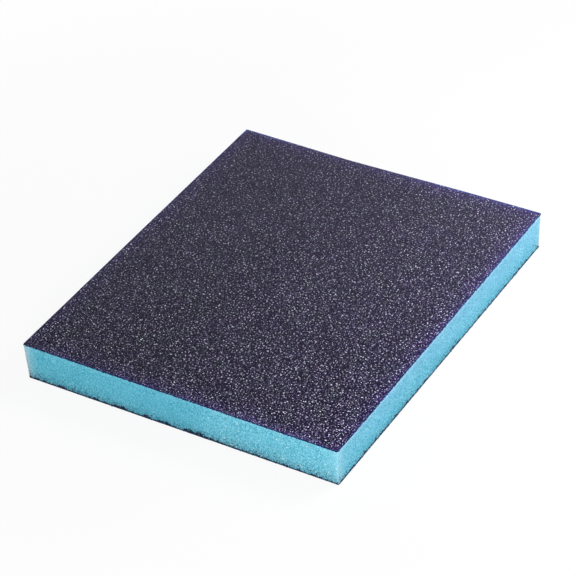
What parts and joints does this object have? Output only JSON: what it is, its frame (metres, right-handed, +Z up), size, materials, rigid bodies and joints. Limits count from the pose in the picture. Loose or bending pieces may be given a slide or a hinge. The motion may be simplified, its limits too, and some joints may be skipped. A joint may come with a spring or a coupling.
{
  "type": "foam sanding pad",
  "caption": "Flat foam sanding pad with an abrasive coating on both large faces, held in the hand to sand curved or flat surfaces.",
  "frame": {"origin": "middle of the lower abrasive face, on the surface that the pad lies on", "axes": "+X across the width, +Y along the length, +Z up through the thickness"},
  "size_m": [0.1, 0.12, 0.012],
  "materials": {
    "foam": "matte",
    "make_resin": "matte",
    "grain": "satin",
    "size_resin": "satin"
  },
  "bodies": {
    "root": {"lower_size_coat": "size_resin", "lower_abrasive_grain": "grain", "lower_make_coat": "make_resin", "foam_core": "foam", "upper_make_coat": "make_resin", "upper_abrasive_grain": "grain", "upper_size_coat": "size_resin"}
  },
  "joints": []
}
